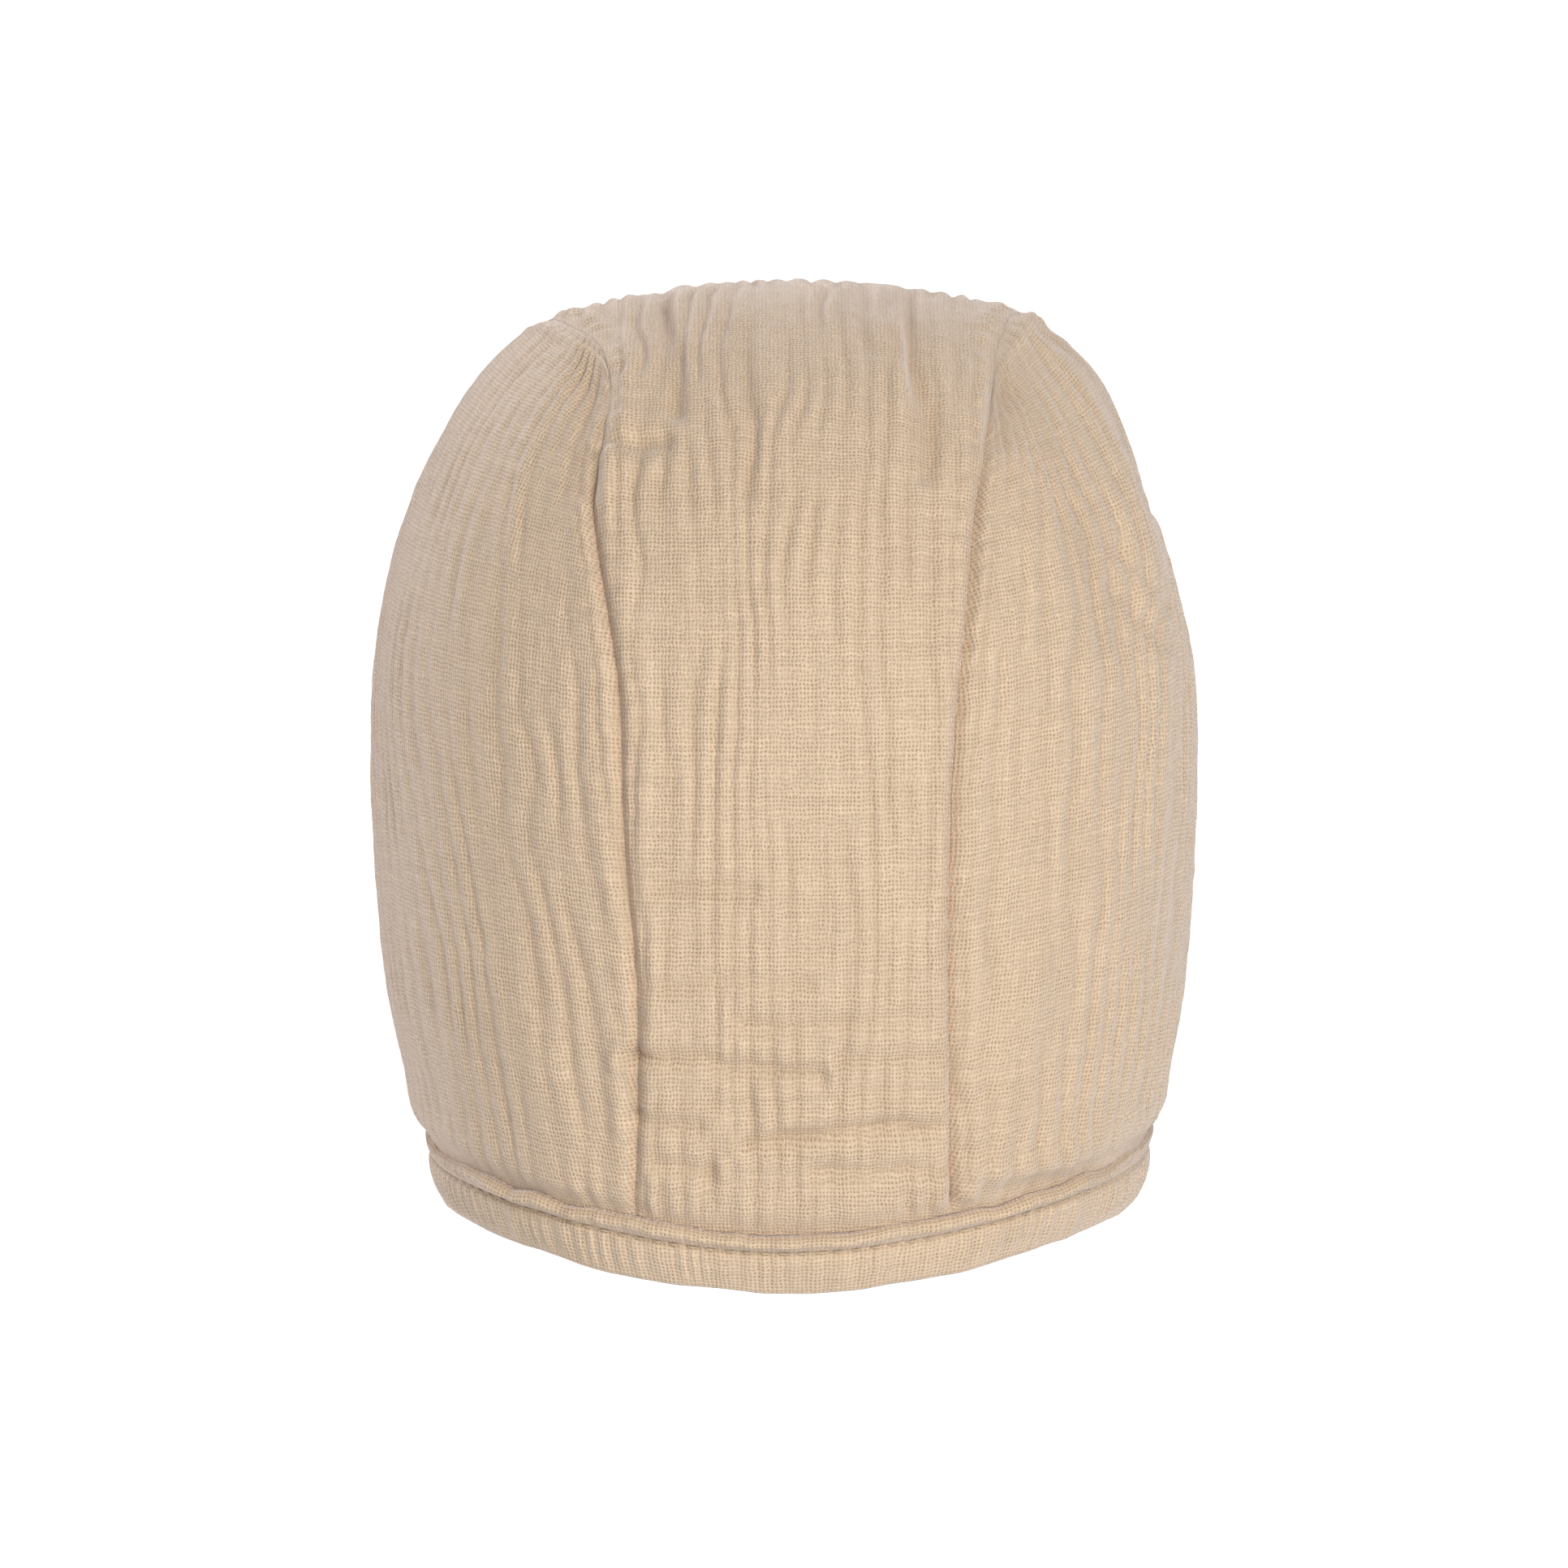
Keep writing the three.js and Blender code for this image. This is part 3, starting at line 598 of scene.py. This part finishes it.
def makeClothMaterial(name, look, weaveGroup):
    material = bpy.data.materials.new(name)
    material.use_nodes = True
    w = Wires(material.node_tree)
    shader = material.node_tree.nodes["Principled BSDF"]
    grain = w.add("ShaderNodeUVMap", uv_map="grain")
    weave = w.add("ShaderNodeGroup", node_tree=weaveGroup)
    w.join(grain.outputs[0], weave.inputs["Grain"])
    setInput(weave, "Pitch", look["pitch"])
    setInput(weave, "Unevenness", look["unevenness"])
    valleyShade = w.add("ShaderNodeAttribute", attribute_name="valleyShade")
    place = w.add("ShaderNodeTexCoord")
    cloudy = w.add("ShaderNodeTexNoise")
    setInput(cloudy, "Scale", 38.0)
    setInput(cloudy, "Detail", 3.0)
    w.join(place.outputs["Object"], cloudy.inputs["Vector"])
    color = w.mixColor(w.math("MULTIPLY", cloudy.outputs["Fac"], 0.8), look["color"], look["shade"])
    # painted shade: the colour is mixed towards a dark brown in rib troughs, fold dents, seams and band
    # grooves
    color = w.mixColor(w.math("MULTIPLY", valleyShade.outputs["Fac"], look["valleyShade"]), color, look["paintedShade"])
    slub = w.math("MULTIPLY_ADD", weave.outputs["Slub"], 0.5, 0.75)
    paint = w.add("ShaderNodeCombineColor")
    for k in range(3):
        w.join(slub, paint.inputs[k])
    color = w.mixColor(1.0, color, paint.outputs[0], "MULTIPLY")
    # painted shade between the threads and in the weave's holes
    color = w.mixColor(w.math("MULTIPLY", weave.outputs["Gap"], look["gaps"]), color, look["paintedShade"])
    color = w.mixColor(w.math("MULTIPLY", weave.outputs["Hole"], look["holes"]), color, look["paintedShade"])
    w.join(color, shader.inputs["Base Color"])
    bump = w.add("ShaderNodeBump")
    setInput(bump, "Strength", look["bump"])
    setInput(bump, "Distance", 0.00013)
    w.join(weave.outputs["Height"], bump.inputs["Height"])
    w.join(bump.outputs[0], shader.inputs["Normal"])
    setInput(shader, "Roughness", 0.93)
    setInput(shader, "Specular IOR Level", 0.2)
    setInput(shader, "Sheen Weight", look["sheen"])
    setInput(shader, "Sheen Roughness", 0.42)
    shader.inputs["Sheen Tint"].default_value = (1.0, 0.93, 0.93, 1)
    return material


# the dark brown colour and the three weights after it paint shade into the cloth: in rib troughs, fold dents
# and seam grooves, between the threads and in the weave's holes
gauzeLook = {
    "pitch": 0.73,
    "unevenness": 0.4,
    "color": (0.775, 0.615, 0.46),
    "shade": (0.74, 0.575, 0.415),
    "paintedShade": (0.36, 0.24, 0.135),
    "valleyShade": 0.22,
    "gaps": 0.3,
    "holes": 0.9,
    "bump": 1.0,
    "sheen": 0.65,
}
bandLook = dict(gauzeLook, valleyShade=0.3, unevenness=0.3)
threadLook = dict(gauzeLook, pitch=0.3, color=(0.72, 0.56, 0.4), holes=0.2, valleyShade=0)

weaveGroup = makeWeaveGroup()
gauze = makeClothMaterial("gauze", gauzeLook, weaveGroup)
bandGauze = makeClothMaterial("bandGauze", bandLook, weaveGroup)
sewingThread = makeClothMaterial("sewingThread", threadLook, weaveGroup)

neckBand = {
    "width": 10.6,
    "leg": 0.8,  # each of the folded band's two layers
    "slot": 0.15,  # room on either side of the cloth
    "fold": 1.3,
    "clearance": 0.45,  # how far the face band ends above the neck band
    "ridgeHeight": 1.1,
    "ridgeWidth": 0.85,
    "ridgeAt": 1.1,
    "stitchAt": 3.1,
    "stitchDip": 0.6,
    "stitchLength": 2.1,
    "stitchGap": 0.9,
    "stitchLift": 0.05,
    "stitchArch": 0.3,
    "threadRadius": 0.24,
    "cornerPuff": 0.9,  # how far the band's lower edge stands out at the sides
    "steps": 900,
    "flatWidth": 0.027,
}
faceHem = dict(neckBand, ridgeHeight=0.7, cornerPuff=0, steps=760)


def makeCentrePanel():
    columns, rows = centreCut["columns"], centreCut["rows"]
    across = np.linspace(-1, 1, columns)[:, None] * np.ones((1, rows))
    share = np.linspace(0, 1, rows)[None, :] * np.ones((columns, 1))

    def angleAt(turn):
        left, right = seamAngle(turn, -1), seamAngle(turn, 1)
        return across * np.where(across < 0, left, right)

    rough = angleAt(faceTurn + share * (napeTurn - faceTurn))
    first = centreTurn(rough, "face", gauzeCloth["tuck"])
    last = centreTurn(rough, "nape", gauzeCloth["tuck"])
    turn = first + share * (last - first)
    directions = roundAxis(turn, angleAt(turn))
    points = formPoint(directions)
    v = runLengths(points, 1)
    middle = columns // 2
    # on the back the threads across the panel lie level
    v = np.interp(turn, turn[middle], v[middle])
    level = np.interp(turn, turn[middle], points[middle, :, 2])
    v -= (points[..., 2] - level) * ease(turn, 2.1, 2.8)
    halfs = runLengths(points, 0)
    u = halfs - halfs[middle]
    seamDistance = np.minimum(halfs, halfs[-1] - halfs)
    lift, valleyShade = clothLift(points, u, v, u, seamDistance, centreCut["crownRibs"], 0)
    piece = clothPiece("centrePanel", directions, lift, valleyShade, u, v, gauze)
    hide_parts("centre_panel")


def makeSidePanel(name, side, slant, replaced, layer):
    columns, rows = sideCut["columns"], sideCut["rows"]
    tuck = gauzeCloth["tuck"]

    def chartDirection(forward, up):
        angle, turn = np.hypot(forward, up), np.arctan2(up, forward)
        out = side * np.cos(angle)
        return np.stack([out, np.sin(angle) * np.cos(turn), np.sin(angle) * np.sin(turn)], -1)

    def seam(turn):
        angle = math.pi / 2 - seamAngle(turn, side)
        return np.stack([angle * np.cos(turn), angle * np.sin(turn)], -1)

    def within(forward, up):
        turn = np.arctan2(up, forward) % (2 * math.pi)
        reach = math.pi / 2 - seamAngle(turn, side)
        return (np.hypot(forward, up) < reach) & aboveNeck(formPoint(chartDirection(forward, up)), tuck)

    def front(up):
        def isBehind(forward):
            return behindFace(formPoint(chartDirection(forward, up)), tuck)

        return lastPlace(isBehind, np.zeros(up.shape), np.full(up.shape, math.pi / 2))

    def edge(forward, stop):
        up = lastPlace(lambda u: within(forward, u), np.zeros(forward.shape), np.full(forward.shape, stop))
        return np.stack([forward, up], -1)

    def seamAboveNeck(turn):
        forward, up = np.moveaxis(seam(turn), -1, 0)
        return aboveNeck(formPoint(chartDirection(forward, up)), tuck)

    level = np.zeros(1)
    faceLow = lastPlace(lambda up: within(front(up), up), level, level - math.pi / 2)
    faceHigh = lastPlace(lambda up: within(front(up), up), level, level + math.pi / 2)
    seamLow = lastPlace(seamAboveNeck, level + math.pi, level + 1.5 * math.pi)
    corner = math.radians(sideCut["corner"])
    q = np.linspace(0, 1, rows)
    faceUp = faceLow + (faceHigh - faceLow) * q
    face = np.stack([front(faceUp), faceUp], -1)
    back = seam(seamLow + (corner - seamLow) * q)

    def patch(p):
        bottom = edge(face[0, 0] + (back[0, 0] - face[0, 0]) * p, -math.pi / 2)
        top = edge(face[-1, 0] + (back[-1, 0] - face[-1, 0]) * p, math.pi / 2)
        P, Q = p[:, None, None], q[None, :, None]
        chart = bottom[:, None] * (1 - Q) + top[:, None] * Q
        chart = chart + (face - face[0] * (1 - Q) - face[-1] * Q) * (1 - P) ** 2
        chart = chart + (back - back[0] * (1 - Q) - back[-1] * Q) * P**2
        return chartDirection(chart[..., 0], chart[..., 1])

    # the patch's columns are spaced by the girth, closer together near the back seam
    rough = np.linspace(0, 1, 60)
    girth = runLengths(formPoint(patch(rough)), 0)[:, rows // 2]
    spread = np.linspace(0, 1, columns)
    spread = spread * (1.35 - 0.35 * spread)
    directions = patch(np.interp(girth[-1] * spread, girth, rough))
    points = formPoint(directions)
    u, v = runLengths(points, 0), runLengths(points, 1)
    toBack, toTop = u[-1] - u, v[:, -1:] - v
    seamDistance = np.minimum(toBack, toTop)
    middle = u[columns // 2]
    below = np.maximum(sideCut["slantFrom"] - points[..., 2], 0)
    ribU = sideCut["ribShare"] * (u[:, rows // 2 : rows // 2 + 1] - slant * below)
    lift, valleyShade = clothLift(points, u - middle, v, ribU, seamDistance, sideCut["crownRibs"], layer)
    piece = clothPiece(name, directions, lift, valleyShade, u - middle, v, gauze)
    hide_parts(replaced)


print("nightcap: panels")
makeCentrePanel()
makeSidePanel("rightSidePanel", 1, 0.02, "right_side_panel", 8)
makeSidePanel("leftSidePanel", -1, 0.16, "left_side_panel", 15)


def bandSection(band):
    # the folded band's closed outline: out from the cloth's face, and down from the band's upper edge
    slotOut, slotIn = band["slot"], -gauzeCloth["thickness"] - band["slot"]
    out, back = slotOut + band["leg"], slotIn - band["leg"]
    width = band["width"]
    downs = np.concatenate([np.linspace(0.25, 4.4, 18), np.linspace(5, width - 1.1, 8)])
    crest = band["ridgeHeight"] * bell(downs - band["ridgeAt"], band["ridgeWidth"])
    groove = band["stitchDip"] * bell(downs - band["stitchAt"], 0.42)
    puff = 0.28 * bell(downs - 6.2, 2.2)
    outer = [(slotOut - 0.25, 0.1)] + list(zip(out + crest - groove + puff, downs))
    middle, radius = (out + back) / 2, (out - back) / 2
    turn = np.linspace(0, math.pi, 9)[1:-1]
    bottom = list(zip(middle + radius * np.cos(turn), width - 1.0 + 1.0 * np.sin(turn)))
    inner = [(back, d) for d in np.linspace(width - 1.1, 0.2, 8)]
    depth = width - band["fold"]
    slot = [(slotIn, 0.0), (slotIn, depth), (slotOut, depth), (slotOut, 1.2)]
    return np.array(outer + bottom + inner + slot), len(outer)


def neckDirection(azimuth, inset):
    def at(fall):
        return np.stack(
            [np.cos(fall) * np.sin(azimuth), -np.cos(fall) * np.cos(azimuth), -np.sin(fall)], -1
        )

    zero = np.zeros(np.broadcast(azimuth, inset).shape)
    return at(lastPlace(lambda fall: aboveNeck(formPoint(at(fall)), inset), zero, zero + math.pi / 2))


def faceDirection(swing, inset):
    def at(ahead):
        return np.stack([np.cos(ahead) * np.sin(swing), np.sin(ahead), np.cos(ahead) * np.cos(swing)], -1)

    zero = np.zeros(np.broadcast(swing, inset).shape)
    return at(lastPlace(lambda ahead: behindFace(formPoint(at(ahead)), inset), zero, zero + math.pi / 2))


def bandEnds(edgeDirection, runs, insets):
    zero = np.zeros(insets.shape)
    return lastPlace(lambda s: runs(formPoint(edgeDirection(s, insets))), zero, zero + math.pi)


def makeBand(name, band, edgeDirection, runs, replaced, layer):
    section, outerCount = bandSection(band)
    out, down = section[:, 0], section[:, 1]
    insets = band["width"] - down
    ends = bandEnds(edgeDirection, runs, insets)
    share = np.linspace(-1, 1, band["steps"])[:, None]
    stations = share * ends[None, :]
    directions = edgeDirection(stations, np.broadcast_to(insets, stations.shape))
    point, normal = formPoint(directions), formNormal(directions)
    middleLine = point[:, outerCount // 2]
    arc = np.concatenate([[0], np.cumsum(np.linalg.norm(np.diff(middleLine, axis=0), axis=-1))])[:, None]
    arc = arc - arc[len(arc) // 2]
    onOuter = (np.arange(len(section)) < outerCount)[None, :]
    ridge = bell(down - band["ridgeAt"], band["ridgeWidth"] * 1.2)[None, :] * onOuter
    flat = arc * 0
    swell = 0.3 * cloud(arc / 9, flat, layer) + 0.3 * cloud(arc / 2.7, flat, layer + 1)
    # the ridge lies flat where the band turns to the front
    toFront = ease(np.abs(point[:, 1, 0:1]), 46, 59)
    swell = swell * (1 - 0.9 * toFront) - band["ridgeHeight"] * toFront
    pucker = 0.16 * np.cos(2 * math.pi * (arc / 2.9 + 0.7 * cloud(arc / 6, flat, layer + 2)))
    reach = onOuter * ease(down, 2.4, 4.2)[None, :] * (1 - ease(down, 7.5, 10.4)[None, :])
    waves = 0.35 * cloud(arc / 14, flat, layer + 3) + 0.18 * cloud(arc / 4.5, flat, layer + 4)
    lift = out[None, :] + swell * ridge + pucker * (reach + 0.5 * ridge)
    lift = lift + waves * ease(down, 3, 10)[None, :]
    lift += band["cornerPuff"] * ease(np.abs(point[..., 0]), 44, 60) * ease(down, 1, 7)[None, :]
    place = point + normal * lift[..., None]
    # the ridge wanders up and down, and the lower edge is a little scalloped
    downward = unit(point[:, outerCount] - point[:, 1])[:, None]
    wander = 0.65 * cloud(arc / 6, flat, layer + 5) + 0.2 * cloud(arc / 2.5, flat, layer + 6)
    wander = wander * (1 - ease(down, 0, 4)[None, :]) * onOuter
    scallop = 0.3 * cloud(arc / 11, flat, layer + 1) * ease(down, 6, 10)[None, :]
    place = place + downward * (wander + scallop)[..., None]
    count, ring = place.shape[:2]
    index = np.arange(count * ring).reshape(count, ring)
    around = np.roll(index, -1, axis=1)
    quads = np.stack([index[:-1], around[:-1], around[1:], index[1:]], -1).reshape(-1, 4)
    points = place.reshape(-1, 3)
    facing = outward(points, quads)
    flipped = facing[0, 0] != quads[0, 0]
    caps = [index[0].tolist(), index[-1].tolist()[::-1]]
    if flipped:
        caps = [cap[::-1] for cap in caps]
    rim = np.concatenate([[0], np.cumsum(np.linalg.norm(np.diff(section, axis=0), axis=1))])
    uv = np.stack([np.broadcast_to(rim, (count, ring)), np.broadcast_to(arc, (count, ring))], -1)
    # painted shade: the colour darkens in the stitch groove and along the band's upper edge, and less where
    # the cloth stands out
    grooves = 0.9 * bell(down - band["stitchAt"], 0.55) + 0.9 * bell(down, 0.5)
    valleyShade = np.clip(0.9 * grooves[None, :] * onOuter - 0.8 * (swell * ridge + pucker * reach), 0, 1)
    valleyShade = valleyShade * np.ones((count, ring))
    faces = facing.tolist() + caps
    piece = makeMesh(name, points, faces, uv.reshape(-1, 2), valleyShade.ravel(), bandGauze)
    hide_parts(replaced)


def makeStitches(name, band, edgeDirection, runs, layer):
    # one row of short sunk stitches just below the ridge
    inset = np.array([band["width"] - band["stitchAt"]])
    end = float(bandEnds(edgeDirection, runs, inset)[0])
    fine = np.linspace(-end, end, 1500)
    line = edgeDirection(fine, np.full(fine.shape, inset[0]))
    point, normal = formPoint(line), formNormal(line)
    arc = np.concatenate([[0], np.cumsum(np.linalg.norm(np.diff(point, axis=0), axis=-1))])
    pitch = band["stitchLength"] + band["stitchGap"]
    rng = np.random.default_rng(layer)
    points, faces, uvs = [], [], []
    sides, rings = 6, 7
    for k in range(int((arc[-1] - 4) // pitch)):
        start = 2 + k * pitch + rng.uniform(-0.15, 0.15)
        length = band["stitchLength"] * rng.uniform(0.88, 1.08)
        base = len(points)
        for r in range(rings):
            t = r / (rings - 1)
            at = start + t * length
            centre = np.array([np.interp(at, arc, point[:, i]) for i in range(3)])
            up = unit(np.array([np.interp(at, arc, normal[:, i]) for i in range(3)]))
            ahead = np.array([np.interp(at + 0.1, arc, point[:, i]) for i in range(3)]) - centre
            ahead = unit(ahead)
            sideways = np.cross(up, ahead)
            hump = band["slot"] + band["stitchLift"] + band["leg"] - band["stitchDip"]
            hump += band["stitchArch"] * math.sin(math.pi * t)
            radius = band["threadRadius"] * (0.35 + 0.65 * math.sin(math.pi * (0.08 + 0.84 * t)))
            for s in range(sides):
                a = 2 * math.pi * s / sides
                out = up * (hump + radius * math.sin(a))
                points.append(centre + out + sideways * radius * math.cos(a))
                uvs.append((s / sides, at))
        for r in range(rings - 1):
            for s in range(sides):
                a, b = base + r * sides + s, base + r * sides + (s + 1) % sides
                faces.append((a, b, b + sides, a + sides))
        faces.append(tuple(range(base + sides - 1, base - 1, -1)))
        faces.append(tuple(base + (rings - 1) * sides + s for s in range(sides)))
    flat = np.zeros(len(points))
    makeMesh(name, np.array(points), faces, np.array(uvs), flat, sewingThread)


def onNeckBand(point):
    return behindFace(point, 0)


def onFaceBand(point):
    return aboveNeck(point, neckBand["width"] + neckBand["clearance"])


print("nightcap: bands and stitches")
makeBand("neckBinding", neckBand, neckDirection, onNeckBand, "neck_binding", 3)
makeBand("faceBinding", faceHem, faceDirection, onFaceBand, "face_binding", 12)
makeStitches("neckStitches", neckBand, neckDirection, onNeckBand, 7)
makeStitches("faceStitches", faceHem, faceDirection, onFaceBand, 8)

# Floor and lights, in metres, and the camera
studio = {
    "lowest": -0.163,
    "floorBelow": 0.42,
    "floorSize": 90,
    "skyStrength": 0.165,
    "aim": (0, 0, -0.08),
}
warmWhite, rosyWhite, coolWhite = (1.0, 0.985, 0.96), (1.0, 0.98, 0.98), (0.98, 0.96, 1.0)
studioLights = [
    {"name": "keyLight", "place": (0.5, -1.64, 0.5), "size": 1.0, "power": 27.6, "color": warmWhite},
    {"name": "rightLight", "place": (1.35, -0.2, 0.25), "size": 1.2, "power": 0.5, "color": rosyWhite},
    {"name": "leftRimLight", "place": (-1.3, 1.0, 0.3), "size": 1.2, "power": 24, "color": coolWhite},
    {"name": "topLight", "place": (0, 0.8, 1.3), "size": 1.0, "power": 6, "color": (1.0, 0.98, 1.0)},
]


def makeFloor():
    half = studio["floorSize"]
    level = studio["lowest"] - studio["floorBelow"]
    mesh = bpy.data.meshes.new("floor")
    corners = [(-half, -half, level), (half, -half, level), (half, half, level), (-half, half, level)]
    mesh.from_pydata(corners, [], [(0, 1, 2, 3)])
    floor = bpy.data.objects.new("floor", mesh)
    bpy.context.collection.objects.link(floor)
    material = bpy.data.materials.new("paleFloor")
    material.use_nodes = True
    shader = material.node_tree.nodes["Principled BSDF"]
    w = Wires(material.node_tree)
    path = w.add("ShaderNodeLightPath")
    shader.inputs["Base Color"].default_value = (0.9, 0.9, 0.89, 1)
    setInput(shader, "Roughness", 0.9)
    shader.inputs["Emission Color"].default_value = (1, 1, 1, 1)
    w.join(w.math("MULTIPLY", path.outputs["Is Camera Ray"], 1.0), shader.inputs["Emission Strength"])
    mesh.materials.append(material)


def makeLight(lamp):
    data = bpy.data.lights.new(lamp["name"], "AREA")
    data.shape = "DISK"
    data.size = lamp["size"]
    data.energy = lamp["power"]
    data.color = lamp["color"]
    light = bpy.data.objects.new(lamp["name"], data)
    bpy.context.collection.objects.link(light)
    light.location = lamp["place"]
    light.rotation_mode = "QUATERNION"
    light.rotation_quaternion = (Vector(studio["aim"]) - Vector(lamp["place"])).to_track_quat("-Z", "Y")


def makeSky():
    world = bpy.data.worlds.new("studioSky")
    bpy.context.scene.world = world
    world.use_nodes = True
    w = Wires(world.node_tree)
    background = world.node_tree.nodes["Background"]
    path = w.add("ShaderNodeLightPath")
    strength = w.math("MULTIPLY_ADD", path.outputs["Is Camera Ray"], 1.2, studio["skyStrength"])
    w.join(strength, background.inputs["Strength"])
    background.inputs["Color"].default_value = (0.97, 0.98, 1.0, 1)


def makeCamera():
    e = math.radians(eye["elevation"])
    back = Vector((0, -math.cos(e), math.sin(e)))
    data = bpy.data.cameras.new("eye")
    data.sensor_width = 36
    data.lens = 36 * eye["distance"] / eye["frameWidth"]
    data.clip_start, data.clip_end = 0.05, 500
    camera = bpy.data.objects.new("eye", data)
    bpy.context.collection.objects.link(camera)
    camera.location = Vector(eye["target"]) * 0.001 + back * eye["distance"] * 0.001
    camera.rotation_mode = "QUATERNION"
    camera.rotation_quaternion = (-back).to_track_quat("-Z", "Y")
    bpy.context.scene.camera = camera
    bpy.context.scene.view_settings.view_transform = "Standard"


print("nightcap: studio")
makeFloor()
makeSky()
for lamp in studioLights:
    makeLight(lamp)
makeCamera()
